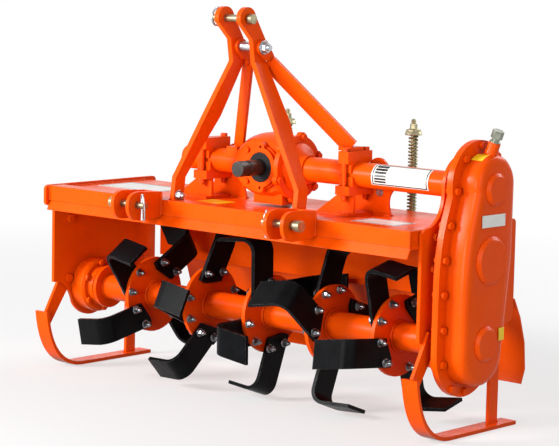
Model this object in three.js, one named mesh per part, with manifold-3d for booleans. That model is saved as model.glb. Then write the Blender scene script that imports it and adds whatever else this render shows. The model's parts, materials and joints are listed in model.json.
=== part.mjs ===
// Rotavator for a compact tractor: a rotor of L-shaped blades under a steel hood, driven from the tractor's
// PTO through a bevel gearbox, a cross shaft and a chain case. Millimetres, +Z up, the tractor is on the -Y side
// and the chain case on the +X side. X is measured from the PTO axis, Y from the cross shaft's axis and Z from
// the rotor's axis; the last lines stand the machine on its skids with its box centred on the origin.
import * as THREE from "three";
import { mergeVertices } from "three/addons/utils/BufferGeometryUtils.js";
import Module from "manifold-3d";

const wasm = await Module();
wasm.setup();

// ---- driving dimensions ----
const seat = 0.3; // gap between pieces that touch

const rotorY = -28; // rotor axis, forward of the cross shaft
const bladeTipRadius = 188;
const soleClearance = 5; // from the blade tips down to the skid soles
const shaftHeight = bladeTipRadius + 138; // cross shaft above the rotor axis

const plateLeftX = -578; // outer face of the left side plate
const plateRightX = 513; // outer face of the right side plate
const plateThickness = 8;
const plateFrontY = -146; // left plate; the right one stops short of it
const plateRightFrontY = -134;
const plateRearY = rotorY + bladeTipRadius + 26;
const plateTopZ = bladeTipRadius + 57;
const plateBellyRadius = 66; // round lower edge under the rotor axis
const plateBellyZ = -8;

const beamFrontY = -163;
const beamDepth = 40;
const beamHeight = 35;
const beamTopZ = bladeTipRadius + 56;
const beamWall = 5;

const deckZ = bladeTipRadius + 50; // upper face of the hood's flat top
const sheet = 4; // hood and board sheet
const shieldY = rotorY + bladeTipRadius + 30; // upright rear part of the hood
const deckRearY = shieldY - 32;
const shieldLeftX = -548;

const hingeY = shieldY + 6;
const hingeZ = 84;
const hingeRodRadius = 5;
const knuckleRadius = 9;
const boardLeftX = -493;
const boardRightX = 505;

const hitchSpread = 227; // each lower hitch pin's middle, from the PTO axis
const hitchGap = 38;
const hitchLug = 9;
const hitchPinY = -237;
const hitchPinZ = beamTopZ - 7;
const hitchPinRadius = 8;

const mastPinY = -147;
const mastPinZ = 651;
const mastGap = 52; // clear width between the two mast ears
const strapThickness = 12;
const spacerY = -105;
const spacerZ = 590;
const spacerRadius = 11;
const spacerBoltRadius = 7;

const ptoRadius = 17.45; // 1 3/8 inch
const ptoEndY = -132;
const gearboxFaceY = -60;
const gearboxFrontY = -46; // flat front of the body, behind the input flange
const gearboxRadius = 74;
const gearboxLeftX = -100;
const gearboxRightX = 49; // face that the side cover sits on
const socketLength = 46; // side cover's taper down to the cross tube
const coverDiscThickness = 12;

const tubeRadius = 27;
const tubeLeftEndX = -274;
const clampLeftX = -199;
const clampLeftWidth = 30;
const clampRightX = 221;
const clampRightWidth = 28;
const clampHalfY = 40;
const clampTopZ = shaftHeight + 50;
const clampSplit = 8; // gap between clamp halves at the cross shaft's height
const clampBoltY = 34.5;
const clampBoltRadius = 5;
const clampJaw = 24; // from the cross shaft's height to a clamp half's jaw, where its bolts pass through

const caseBackDepth = 25; // from the side plate to the chain case flange
const caseFlange = 10;
const caseCoverDepth = 52;
const caseTopRadius = 90;
const caseTopY = -1;
const caseTopZ = shaftHeight + 7;
const caseBottomRadius = 95;
const caseBottomY = -32;
const caseBottomZ = -8;
const caseInset = 27; // cover's wall, inside the flange's edge
const caseBackInset = 40; // back wall, inside the flange's edge

const flangeCount = 5;
const flangeFirstX = -356;
const flangePitch = 182.5;
const flangeRadius = 87;
const flangeThickness = 10;
const rotorTubeRadius = 30;
const journalRadius = 20;
const journalGap = 0.4;

const bladeThickness = 8;
const bladeWidth = 62;
const bladeReach = 98; // from the flange's face to the wing's end
const bladeBend = 34; // outer radius of the bend
const bladeSweep = 28; // degrees that a shank leans back from the radius
const bladeSkew = 0.17; // how far a wing leans forward for each millimetre of its reach
const boltCircle = 76;

const skidWidth = 40;
const skidBar = 8;
const skidFrontY = -172;
const skidRise = 138; // from the sole to the runner's front end
const skidRearY = 172;
const skidRearStrutY = 115;

const rodX = 188; // each spring rod, from the PTO axis
const rodRadius = 5;
const lugRadius = 44; // from the board's hinge to the rod's pin
const lugDrop = 12; // degrees that the lug lies below the hinge at rest
const springBottomZ = 174;
const springTopZ = 403;
const springRadius = 10;

// ---- paint and metal ----
const finish = (color, roughness, metalness) => new THREE.MeshStandardMaterial({ color, roughness, metalness });
const orange = finish(0xf45a12, 0.35, 0);
const black = finish(0x17181a, 0.5, 0.2);
const zinc = finish(0xb9b48e, 0.35, 0.9);
const steel = finish(0x9a9c9c, 0.4, 0.9);
const rubber = finish(0x0c0c0d, 0.6, 0);

// ---- shape helpers ----
const degrees = Math.PI / 180;
const alongX = new THREE.Matrix4().makeBasis(
  new THREE.Vector3(0, 1, 0),
  new THREE.Vector3(0, 0, 1),
  new THREE.Vector3(1, 0, 0),
);
const alongY = new THREE.Matrix4().makeBasis(
  new THREE.Vector3(-1, 0, 0),
  new THREE.Vector3(0, 0, 1),
  new THREE.Vector3(0, 1, 0),
);

// A solid that manifold can join and cut, from a closed three.js geometry.
function solid(geometry) {
  const bare = (geometry.index ? geometry.toNonIndexed() : geometry).clone();
  bare.deleteAttribute("normal");
  bare.deleteAttribute("uv");
  const merged = mergeVertices(bare, 1e-4);
  return new wasm.Manifold(
    new wasm.Mesh({
      numProp: 3,
      vertProperties: new Float32Array(merged.attributes.position.array),
      triVerts: new Uint32Array(merged.index.array),
    }),
  );
}

const join = (first, ...others) => others.reduce((sum, next) => sum.add(next), first);
const cut = (first, ...others) => others.reduce((rest, next) => rest.subtract(next), first);

// A box between two corners.
function block(x0, x1, y0, y1, z0, z1) {
  const geometry = new THREE.BoxGeometry(x1 - x0, y1 - y0, z1 - z0);
  geometry.translate((x0 + x1) / 2, (y0 + y1) / 2, (z0 + z1) / 2);
  return solid(geometry);
}

const outline = (points) => new THREE.Shape(points.map(([u, v]) => new THREE.Vector2(u, v)));

// A plate normal to X: its shape is drawn in (Y, Z) and it fills x0 to x1.
function plateX(shape, x0, x1, curveSegments = 10) {
  const geometry = new THREE.ExtrudeGeometry(shape, { depth: x1 - x0, bevelEnabled: false, curveSegments });
  geometry.applyMatrix4(alongX).translate(x0, 0, 0);
  return solid(geometry);
}

// A plate normal to Y: its shape is drawn in (-X, Z) and it fills y0 to y1.
function plateY(shape, y0, y1, curveSegments = 10) {
  const geometry = new THREE.ExtrudeGeometry(shape, { depth: y1 - y0, bevelEnabled: false, curveSegments });
  geometry.applyMatrix4(alongY).translate(0, y0, 0);
  return solid(geometry);
}

// A plate normal to Z: its shape is drawn in (X, Y) and it fills z0 to z1.
function plateZ(shape, z0, z1, curveSegments = 10) {
  const geometry = new THREE.ExtrudeGeometry(shape, { depth: z1 - z0, bevelEnabled: false, curveSegments });
  geometry.translate(0, 0, z0);
  return solid(geometry);
}

// Round bars and discs along each axis.
function rodAlongX(radius, x0, x1, y, z, sides = 24) {
  const geometry = new THREE.CylinderGeometry(radius, radius, x1 - x0, sides);
  geometry.rotateZ(Math.PI / 2).translate((x0 + x1) / 2, y, z);
  return solid(geometry);
}
function rodAlongY(radius, y0, y1, x, z, sides = 24) {
  const geometry = new THREE.CylinderGeometry(radius, radius, y1 - y0, sides);
  geometry.translate(x, (y0 + y1) / 2, z);
  return solid(geometry);
}
function rodAlongZ(radius, z0, z1, x, y, sides = 24) {
  const geometry = new THREE.CylinderGeometry(radius, radius, z1 - z0, sides);
  geometry.rotateX(Math.PI / 2).translate(x, y, (z0 + z1) / 2);
  return solid(geometry);
}

// A body of revolution about X at (y, z): profile points are [x, radius], from axis to axis.
function turnedX(profile, y, z, sides = 32) {
  const points = profile.map(([x, radius]) => new THREE.Vector2(radius, x));
  const geometry = new THREE.LatheGeometry(points, sides);
  geometry.rotateZ(-Math.PI / 2).translate(0, y, z);
  return solid(geometry);
}

// A strip of constant thickness along a polyline, as a closed outline: its points give the strip's one face, and
// the other face lies to the left of the path.
function strip(points, thickness) {
  const offset = points.map(([u, v], i) => {
    const before = points[Math.max(i - 1, 0)];
    const after = points[Math.min(i + 1, points.length - 1)];
    const normals = [
      [before, points[i]],
      [points[i], after],
    ]
      .filter(([a, b]) => a !== b)
      .map(([a, b]) => new THREE.Vector2(a[1] - b[1], b[0] - a[0]).normalize());
    const bisector = normals.reduce((sum, n) => sum.add(n.clone()), new THREE.Vector2()).normalize();
    const reach = thickness / bisector.dot(normals[0]);
    return [u + bisector.x * reach, v + bisector.y * reach];
  });
  return outline([...points, ...offset.reverse()]);
}

const machine = new THREE.Group();

// Adds a finished solid to the machine as a named mesh.
function place(name, made, material) {
  const { vertProperties, triVerts, numProp, numVert } = made.getMesh();
  const positions = new Float32Array(numVert * 3);
  for (let i = 0; i < numVert; i += 1) {
    positions.set(vertProperties.subarray(i * numProp, i * numProp + 3), i * 3);
  }
  const geometry = new THREE.BufferGeometry();
  geometry.setAttribute("position", new THREE.BufferAttribute(positions, 3));
  geometry.setIndex(new THREE.BufferAttribute(triVerts, 1));
  const mesh = new THREE.Mesh(geometry, material);
  mesh.name = name;
  machine.add(mesh);
}

// ---- side plates ----
const plateInnerLeftX = plateLeftX + plateThickness;
const plateInnerRightX = plateRightX - plateThickness;
const chainTopShoulder = 64; // upper part of the right plate, around the cross shaft
const plateLipY = -173; // left plate's nose, in front of the beam

function sidePlateShape(upper) {
  const shape = new THREE.Shape();
  const front = upper ? plateRightFrontY : plateFrontY;
  const belly = plateBellyRadius;
  const bellyEnd = [belly * Math.cos(Math.PI / 6), plateBellyZ - belly / 2];
  shape.moveTo(front, 14);
  shape.quadraticCurveTo(rotorY - bellyEnd[0] - 12, 12, rotorY - bellyEnd[0], bellyEnd[1]);
  shape.absarc(rotorY, plateBellyZ, belly, (Math.PI * 7) / 6, (Math.PI * 11) / 6, false);
  shape.lineTo(rotorY + bellyEnd[0] + 34, 6);
  shape.lineTo(plateRearY - 16, 24);
  shape.quadraticCurveTo(plateRearY, 30, plateRearY, 46);
  shape.lineTo(plateRearY, plateTopZ - 12);
  shape.quadraticCurveTo(plateRearY, plateTopZ, plateRearY - 12, plateTopZ);
  if (upper) {
    shape.lineTo(chainTopShoulder + 24, plateTopZ);
    shape.quadraticCurveTo(chainTopShoulder, plateTopZ + 4, chainTopShoulder, shaftHeight - 20);
    shape.absarc(0, shaftHeight, chainTopShoulder, 0, Math.PI, false);
    shape.quadraticCurveTo(-chainTopShoulder, plateTopZ + 4, front + 10, plateTopZ);
    shape.lineTo(front, plateTopZ - 8);
  } else {
    shape.lineTo(plateLipY + 14, plateTopZ);
    shape.quadraticCurveTo(plateLipY, plateTopZ, plateLipY, plateTopZ - 12);
    shape.lineTo(plateLipY, plateTopZ - 38);
    shape.quadraticCurveTo(plateLipY, plateTopZ - 46, plateLipY + 8, plateTopZ - 48);
    shape.lineTo(front, plateTopZ - 54);
  }
  return shape;
}

function sidePlates() {
  const left = plateX(sidePlateShape(false), plateLeftX, plateInnerLeftX, 12);
  place("side_plate_left", left, orange);
  const shape = sidePlateShape(true);
  shape.holes.push(new THREE.Path().absarc(rotorY, 0, 52, 0, Math.PI * 2, true));
  place("side_plate_right", plateX(shape, plateInnerRightX, plateRightX, 12), orange);
}

// ---- front beam with its lip, hood ----
const beamRearY = beamFrontY + beamDepth;
const frameLeftX = plateInnerLeftX + seat;
const frameRightX = plateInnerRightX - seat;

function frontBeam() {
  const bottom = beamTopZ - beamHeight;
  const tube = cut(
    block(frameLeftX, frameRightX, beamFrontY, beamRearY, bottom, beamTopZ),
    block(
      frameLeftX - 1,
      frameRightX + 1,
      beamFrontY + beamWall,
      beamRearY - beamWall,
      bottom + beamWall,
      beamTopZ - beamWall,
    ),
  );
  const lip = plateX(
    strip(
      [
        [beamRearY - 4, bottom],
        [beamFrontY + 2, bottom],
        [beamFrontY - 8, bottom - 21],
      ],
      sheet,
    ),
    frameLeftX,
    frameRightX,
  );
  place("front_beam", join(tube, lip), orange);
}

const shieldFootZ = hingeZ + knuckleRadius + 7;
const apronFootZ = 54; // inner apron that hangs in front of the board's hinge
const fixedKnuckles = [-440, 0, 440];
const boardKnuckles = [-380, -60, 60, 380];
const knuckleLength = 34;

function hood() {
  const skin = plateX(
    strip(
      [
        [beamRearY + seat, deckZ],
        [deckRearY, deckZ],
        [shieldY, deckZ - 33],
        [shieldY, 132],
        [hingeY, shieldFootZ],
      ].reverse(),
      sheet,
    ),
    frameLeftX,
    frameRightX,
  );
  const apron = block(shieldLeftX, frameRightX, shieldY - 2 * sheet, shieldY - sheet + 0.5, apronFootZ, 150);
  const notch = block(frameLeftX - 5, shieldLeftX, deckRearY + 4, plateRearY + 60, 0, deckZ + 5);
  const knuckles = fixedKnuckles.map((x) =>
    join(
      rodAlongX(knuckleRadius, x, x + knuckleLength, hingeY, hingeZ, 16),
      block(x, x + knuckleLength, hingeY - sheet, hingeY, hingeZ + 2, shieldFootZ + 2),
    ),
  );
  const bore = rodAlongX(hingeRodRadius + seat, frameLeftX, frameRightX, hingeY, hingeZ, 16);
  place("hood", cut(join(cut(skin, notch), apron, ...knuckles), bore), orange);
  place("board_hinge_rod", rodAlongX(hingeRodRadius, boardLeftX - 12, boardRightX - 8, hingeY, hingeZ, 16), steel);
}

// ---- trailing board, on the hinge rod ----
const rodY = hingeY + lugRadius * Math.cos(lugDrop * degrees);
const rodPinZ = hingeZ - lugRadius * Math.sin(lugDrop * degrees);
const lugThickness = 6;
const lugGap = 14;
const eyeThickness = 12;
const lugPinRadius = 5;

function trailingBoard() {
  const skin = plateX(
    strip(
      [
        [hingeY + 3, hingeZ - knuckleRadius - 7],
        [222, 25],
        [240, -30],
        [245, -88],
        [233, -119],
      ],
      sheet,
    ),
    boardLeftX,
    boardRightX,
  );
  const knuckles = boardKnuckles.map((x) =>
    join(
      rodAlongX(knuckleRadius, x - knuckleLength / 2, x + knuckleLength / 2, hingeY, hingeZ, 16),
      block(
        x - knuckleLength / 2,
        x + knuckleLength / 2,
        hingeY + 1,
        hingeY + 8,
        hingeZ - knuckleRadius - 12,
        hingeZ - 4,
      ),
    ),
  );
  const lugs = [-rodX, rodX].map((x) => {
    const half = lugGap / 2 + lugThickness;
    const shape = outline([
      [hingeY + 9, hingeZ - 26],
      [218, 28],
      [226, 18],
      [rodY + 11, rodPinZ - 4],
      [rodY + 8, rodPinZ + 8],
      [rodY - 3, rodPinZ + 11],
      [rodY - 12, rodPinZ + 4],
    ]);
    return join(
      plateX(shape, x - half, x - half + lugThickness),
      plateX(shape, x + half - lugThickness, x + half),
      rodAlongX(lugPinRadius, x - half - 3, x + half + 3, rodY, rodPinZ, 16),
    );
  });
  const bore = rodAlongX(hingeRodRadius + 0.6, boardLeftX - 1, boardRightX + 1, hingeY, hingeZ, 16);
  place("trailing_board", join(cut(join(skin, ...knuckles), bore), ...lugs), orange);
}

// ---- sprung rods between hood and board ----
function springRods() {
  for (const [side, x] of [
    ["left", -rodX],
    ["right", rodX],
  ]) {
    const shelfTop = springBottomZ - seat;
    const shelf = cut(
      join(
        block(x - 30, x + 30, shieldY + seat, rodY + 22, shelfTop - 6, shelfTop),
        block(x - 30, x - 24, shieldY + seat, shieldY + 30, shelfTop - 34, shelfTop),
        block(x + 24, x + 30, shieldY + seat, shieldY + 30, shelfTop - 34, shelfTop),
      ),
      rodAlongZ(rodRadius + 0.8, shelfTop - 20, shelfTop + 10, x, rodY),
    );
    place(`spring_bracket_${side}`, shelf, orange);
    const coil = cut(
      rodAlongZ(springRadius, springBottomZ, springTopZ - seat, x, rodY),
      rodAlongZ(rodRadius + 1, springBottomZ - 1, springTopZ + 1, x, rodY),
    );
    place(`spring_${side}`, coil, zinc);
    const eye = cut(
      join(
        rodAlongX(12, x - eyeThickness / 2, x + eyeThickness / 2, rodY, rodPinZ, 20),
        rodAlongZ(rodRadius, rodPinZ + 9, springTopZ + 26, x, rodY, 20),
        rodAlongZ(17, springTopZ, springTopZ + 5, x, rodY, 24),
        rodAlongZ(8.5, springTopZ + 4.9, springTopZ + 18, x, rodY, 6),
      ),
      rodAlongX(lugPinRadius + 2, x - 20, x + 20, rodY, rodPinZ, 16),
    );
    place(`spring_rod_${side}`, eye, zinc);
  }
}

// ---- lower hitch clevises and pins ----
function hitchClevis(side, x) {
  const lug = new THREE.Shape();
  const back = beamFrontY - seat;
  const low = hitchPinZ - 33;
  const high = hitchPinZ + 27;
  lug.moveTo(back, low + 2);
  lug.lineTo(back, high - 2);
  lug.lineTo(hitchPinY + 4, high + 2);
  lug.quadraticCurveTo(hitchPinY - 28, high, hitchPinY - 28, hitchPinZ);
  lug.quadraticCurveTo(hitchPinY - 28, low, hitchPinY + 6, low - 2);
  const inner = hitchGap / 2;
  const outer = inner + hitchLug;
  const made = cut(
    join(
      plateX(lug, x - outer, x - inner),
      plateX(lug, x + inner, x + outer),
      block(x - outer, x + outer, back - 8, back, low + 6, high - 2),
    ),
    rodAlongX(hitchPinRadius + seat, x - outer - 5, x + outer + 5, hitchPinY, hitchPinZ),
  );
  place(`hitch_clevis_${side}`, made, orange);
  const head = side === "left" ? -1 : 1;
  const pin = join(
    rodAlongX(hitchPinRadius, x - outer - 24, x + outer + 24, hitchPinY, hitchPinZ),
    rodAlongX(
      hitchPinRadius + 4,
      ...(head > 0 ? [x + outer + 8, x + outer + 26] : [x - outer - 26, x - outer - 8]),
      hitchPinY,
      hitchPinZ,
    ),
  );
  place(`hitch_pin_${side}`, pin, zinc);
}

// ---- mast: two bent straps with ears, top pin, spacer, two stays ----
const strapX = mastGap / 2 + strapThickness / 2; // middle of an ear
const strapFootX = 181;
const strapFootZ = beamTopZ + seat;
const strapEarRadius = 25;

function mastStrap(side, sign) {
  const half = strapThickness / 2;
  const front = strip(
    [
      [strapFootX + half, strapFootZ],
      [strapFootX + half, 296],
      [strapX + half, 560],
      [strapX + half, mastPinZ + strapEarRadius + 2],
    ].map(([x, z]) => [-sign * x, z]),
    -sign * strapThickness,
  );
  const profile = new THREE.Shape();
  profile.moveTo(-150, strapFootZ);
  profile.lineTo(-118, strapFootZ);
  profile.lineTo(-112, 300);
  profile.lineTo(-102, 356);
  profile.lineTo(-86, 433);
  profile.lineTo(-88, 560);
  profile.lineTo(-92, 608);
  profile.lineTo(mastPinY + strapEarRadius * 0.96, mastPinZ + 6);
  profile.absarc(mastPinY, mastPinZ, strapEarRadius, Math.PI * 0.08, Math.PI * 1.1, false);
  profile.lineTo(-132, 606);
  profile.lineTo(-124, 556);
  profile.lineTo(-134, 433);
  profile.lineTo(-142, 304);
  const made = cut(
    solid(
      new THREE.ExtrudeGeometry(front, { depth: 300, bevelEnabled: false }).applyMatrix4(alongY).translate(0, -250, 0),
    ).intersect(plateX(profile, -260, 260, 16)),
    rodAlongX(hitchPinRadius + seat, -260, 260, mastPinY, mastPinZ),
    rodAlongX(spacerBoltRadius + seat, -260, 260, spacerY, spacerZ),
  );
  place(`mast_strap_${side}`, made, orange);
}

const stayThickness = 8;
const stayFootHalf = 16;

// A straight flat bar between two points, its wide face turned to the front.
function flatBar(from, to, width, thickness) {
  const a = new THREE.Vector3(...from);
  const b = new THREE.Vector3(...to);
  const along = b.clone().sub(a);
  const length = along.length();
  along.normalize();
  const across = new THREE.Vector3().crossVectors(along, new THREE.Vector3(0, -1, 0)).normalize();
  const through = new THREE.Vector3().crossVectors(along, across);
  const geometry = new THREE.BoxGeometry(width, thickness, length);
  const turn = new THREE.Matrix4().makeBasis(across, through, along);
  geometry.applyMatrix4(turn).translate(...a.add(b).multiplyScalar(0.5).toArray());
  return solid(geometry);
}

// The right stay's upper end lies against the outer face of its strap and the left one's against the inner face.
// The right stay's foot stands on its tube clamp, the left one's on the cross tube beside the gearbox.
function mastStay(side, width, tabX, footX, footZ, saddle) {
  const tab = new THREE.Shape();
  tab.absarc(spacerY, spacerZ, 17, Math.PI * 0.2, Math.PI * 1.2, false);
  tab.absarc(spacerY + 26, spacerZ - 30, 13, Math.PI * 1.2, Math.PI * 2.2, false);
  const top = [(tabX[0] + tabX[1]) / 2, spacerY + 25, spacerZ - 34];
  const bar = flatBar(top, [footX, -2, footZ + 6], width, stayThickness);
  const underside = saddle ? footZ - 16 : footZ;
  const foot = block(footX - stayFootHalf, footX + stayFootHalf, -26, 20, underside, footZ + 8);
  const outer = mastGap / 2 + strapThickness + seat;
  const inner = mastGap / 2 - seat;
  const strapRoom = block(tabX[0] < 0 ? -90 : inner, tabX[0] < 0 ? -inner : outer, -300, -87, 500, 700);
  const bendRoom = block(-90, 90, -300, -87.5, 500, spacerZ - 28);
  const made = cut(
    join(cut(bar, strapRoom, bendRoom), cut(plateX(tab, ...tabX), bendRoom), foot),
    rodAlongX(spacerBoltRadius + seat, -90, 90, spacerY, spacerZ),
    block(footX - 60, footX + 60, -60, 60, footZ - 60, underside),
  );
  const clear = saddle ? cut(made, rodAlongX(tubeRadius + seat, -300, gearboxLeftX, 0, shaftHeight, 28)) : made;
  place(`mast_stay_${side}`, clear, orange);
}

function mast() {
  mastStrap("left", -1);
  mastStrap("right", 1);
  const pinHalf = mastGap / 2 + strapThickness;
  const pin = join(
    rodAlongX(hitchPinRadius, -pinHalf - 24, pinHalf + 16, mastPinY, mastPinZ),
    rodAlongX(hitchPinRadius + 3, pinHalf + 3, pinHalf + 16, mastPinY, mastPinZ),
  );
  place("top_link_pin", pin, zinc);
  const nutX = pinHalf + stayThickness + 2 * seat;
  const inner = mastGap / 2 - seat;
  const spacer = join(
    rodAlongX(spacerRadius, -inner + stayThickness + seat, inner, spacerY, spacerZ),
    rodAlongX(spacerBoltRadius, -pinHalf - 16, nutX + 18, spacerY, spacerZ, 16),
    rodAlongX(12, -pinHalf - 9, -pinHalf - seat, spacerY, spacerZ, 6),
    rodAlongX(12, nutX, nutX + 12, spacerY, spacerZ, 6),
  );
  place("mast_spacer_bolt", spacer, steel);
  mastStay("left", 28, [-inner, -inner + stayThickness], gearboxLeftX - 17, shaftHeight + tubeRadius, true);
  const tabRight = mastGap / 2 + strapThickness + seat;
  mastStay("right", 37, [tabRight, tabRight + stayThickness], clampRightX - 10, clampTopZ + seat, false);
}

// ---- gearbox, PTO shaft ----
const ptoCollarRadius = 44;
const sealRadius = 33;

function gearbox() {
  const body = turnedX(
    [
      [gearboxLeftX, 0],
      [gearboxLeftX, 36],
      [-92, 44],
      [-80, 54],
      [-62, 64],
      [-40, 71],
      [-18, gearboxRadius],
      [20, gearboxRadius - 2],
      [36, gearboxRadius - 7],
      [gearboxRightX, gearboxRadius - 5],
      [gearboxRightX, 0],
    ],
    0,
    shaftHeight,
    32,
  );
  const snout = rodAlongY(48, gearboxFaceY + 8, 0, 0, shaftHeight, 28);
  const collar = rodAlongY(ptoCollarRadius, gearboxFaceY, gearboxFaceY + 12, 0, shaftHeight, 28);
  const lugs = [90, 200, 270].map((angle) => {
    const x = 44 * Math.cos(angle * degrees);
    const z = shaftHeight + 45 * Math.sin(angle * degrees);
    return rodAlongY(11, gearboxFaceY, gearboxFaceY + 12, x, z, 16);
  });
  const lugHoles = [90, 270].map((angle) =>
    rodAlongY(3.5, gearboxFaceY - 5, gearboxFaceY + 6, 0, shaftHeight + 45 * Math.sin(angle * degrees), 12),
  );
  const foot = block(-40, 44, -34, 34, deckZ + 6, shaftHeight - 40);
  const sealPocket = rodAlongY(sealRadius + seat, gearboxFaceY - 5, gearboxFaceY + 8, 0, shaftHeight, 28);
  const shaftPocket = rodAlongY(ptoRadius + journalGap, gearboxFaceY - 5, gearboxFaceY + 40, 0, shaftHeight, 28);
  const ahead = block(-200, 200, -200, gearboxFrontY, 100, 500);
  const housing = cut(join(cut(body, ahead), snout, collar, ...lugs, foot), sealPocket, shaftPocket, ...lugHoles);
  place("gearbox_housing", housing, orange);

  const seal = cut(
    rodAlongY(sealRadius, gearboxFaceY - 1, gearboxFaceY + 8 - seat, 0, shaftHeight, 28),
    rodAlongY(ptoRadius + journalGap, gearboxFaceY - 5, gearboxFaceY + 20, 0, shaftHeight, 28),
  );
  place("gearbox_seal", seal, rubber);

  const discX = gearboxRightX + seat;
  const ears = [0, 60, 120, 180, 240, 300].map((angle) => {
    const y = 68 * Math.cos((angle + 20) * degrees);
    const z = shaftHeight + 68 * Math.sin((angle + 20) * degrees);
    return rodAlongX(11, discX, discX + coverDiscThickness, y, z, 12);
  });
  const cover = join(
    rodAlongX(gearboxRadius - 3, discX, discX + coverDiscThickness, 0, shaftHeight, 32),
    turnedX(
      [
        [discX + 4, 0],
        [discX + 4, 56],
        [discX + 16, 54],
        [discX + 30, 36],
        [discX + socketLength, 31],
        [discX + socketLength, 0],
      ],
      0,
      shaftHeight,
      28,
    ),
    ...ears,
  );
  place("gearbox_side_cover", cover, orange);

  const groove = rodAlongY(ptoRadius + 5, ptoEndY + 22, ptoEndY + 30, 0, shaftHeight, 24);
  const waist = rodAlongY(ptoRadius - 1.5, ptoEndY + 21, ptoEndY + 31, 0, shaftHeight, 24);
  const shaft = join(
    cut(rodAlongY(ptoRadius, ptoEndY, gearboxFaceY + 38, 0, shaftHeight, 24), groove),
    waist,
  );
  place("pto_shaft", shaft, black);
}

// ---- cross tube, clamps, pedestals ----
function crossTube() {
  const rightStart = gearboxRightX + socketLength + 2 * seat;
  place(
    "drive_tube_right",
    rodAlongX(tubeRadius, rightStart, plateInnerRightX - seat, 0, shaftHeight, 28),
    orange,
  );
  place("drive_tube_left", rodAlongX(tubeRadius, tubeLeftEndX, gearboxLeftX - seat, 0, shaftHeight, 28), orange);
}

// Upright plate behind the cross tube, with a scalloped edge and a round head.
function rearPlate(x0, floorZ) {
  const shape = new THREE.Shape();
  const head = x0 + 44;
  shape.moveTo(-(x0 - 30), floorZ);
  shape.lineTo(-(x0 - 10), shaftHeight - 24);
  shape.lineTo(-(head - 26), shaftHeight);
  shape.absarc(-head, shaftHeight + 8, 27, 0, Math.PI, false);
  shape.lineTo(-(x0 + 85), shaftHeight - 34);
  shape.quadraticCurveTo(-(x0 + 66), shaftHeight - 52, -(x0 + 82), floorZ);
  return plateY(shape, clampHalfY + 1, clampHalfY + 7);
}

function clampAndPedestal(side, middle, width) {
  const x0 = middle - width / 2;
  const x1 = middle + width / 2;
  const bore = rodAlongX(tubeRadius + seat, x0 - 5, x1 + 5, 0, shaftHeight, 28);
  const lowZ = shaftHeight - tubeRadius - 16;
  const waist = tubeRadius + 3;
  const upper = cut(
    join(
      block(x0, x1, -waist, waist, shaftHeight + clampSplit / 2, clampTopZ),
      block(x0, x1, -clampHalfY, clampHalfY, shaftHeight + clampJaw, clampTopZ),
    ),
    bore,
  );
  const bolts = [-clampBoltY, clampBoltY].map((y) =>
    join(
      rodAlongZ(clampBoltRadius, lowZ - 14, clampTopZ + 1, middle, y, 16),
      rodAlongZ(8, clampTopZ - 1, clampTopZ + 7, middle, y, 6),
      rodAlongZ(6.2, lowZ - 9, lowZ - seat, middle, y, 6),
    ),
  );
  place(`tube_clamp_${side}`, join(upper, ...bolts), orange);
  const boltRoom = [-clampBoltY, clampBoltY].map((y) =>
    rodAlongZ(clampBoltRadius + seat, lowZ - 1, shaftHeight, middle, y, 16),
  );
  const lowerBlock = cut(
    join(
      block(x0 - 5, x1 + 5, -waist, waist, lowZ, shaftHeight - clampSplit / 2),
      block(x0 - 5, x1 + 5, -clampHalfY - 2, clampHalfY + 2, lowZ, shaftHeight - clampJaw),
    ),
    ...boltRoom,
  );
  const floorZ = deckZ + seat;
  // front web and rear plate, both widening towards -X as they come down
  const web = plateY(
    outline(
      [
        [x0 - 5, lowZ + 4],
        [x1 + 5, lowZ + 4],
        [x1 + 5, floorZ],
        [x0 - 75, floorZ],
      ].map(([x, z]) => [-x, z]),
    ),
    -clampHalfY + 15,
    -clampHalfY + 22,
  );
  const wall = rearPlate(x0, floorZ);
  const base = block(x0 - 5, x1 + 5, -clampHalfY - 2, clampHalfY + 12, floorZ, floorZ + 6);
  place(`tube_pedestal_${side}`, cut(join(lowerBlock, web, wall, base), bore), orange);
}

// ---- chain case ----
function caseOutline(inset) {
  const top = caseTopRadius - inset;
  const bottom = caseBottomRadius - inset;
  const shape = new THREE.Shape();
  shape.moveTo(caseBottomY - bottom, caseBottomZ);
  shape.absarc(caseBottomY, caseBottomZ, bottom, Math.PI, Math.PI * 2, false);
  shape.lineTo(caseTopY + top - 1, caseTopZ - 150);
  shape.lineTo(caseTopY + top, caseTopZ);
  shape.absarc(caseTopY, caseTopZ, top, 0, Math.PI * 1.07, false);
  shape.lineTo(-109 + inset, 254);
  shape.quadraticCurveTo(-125 + inset, 205, -126 + inset, 120);
  return shape;
}

const caseBackX = plateRightX + seat;
const caseFlangeX = caseBackX + caseBackDepth;
const caseCoverX = caseFlangeX + caseFlange + seat;
const caseFaceX = caseCoverX + caseCoverDepth;

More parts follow.
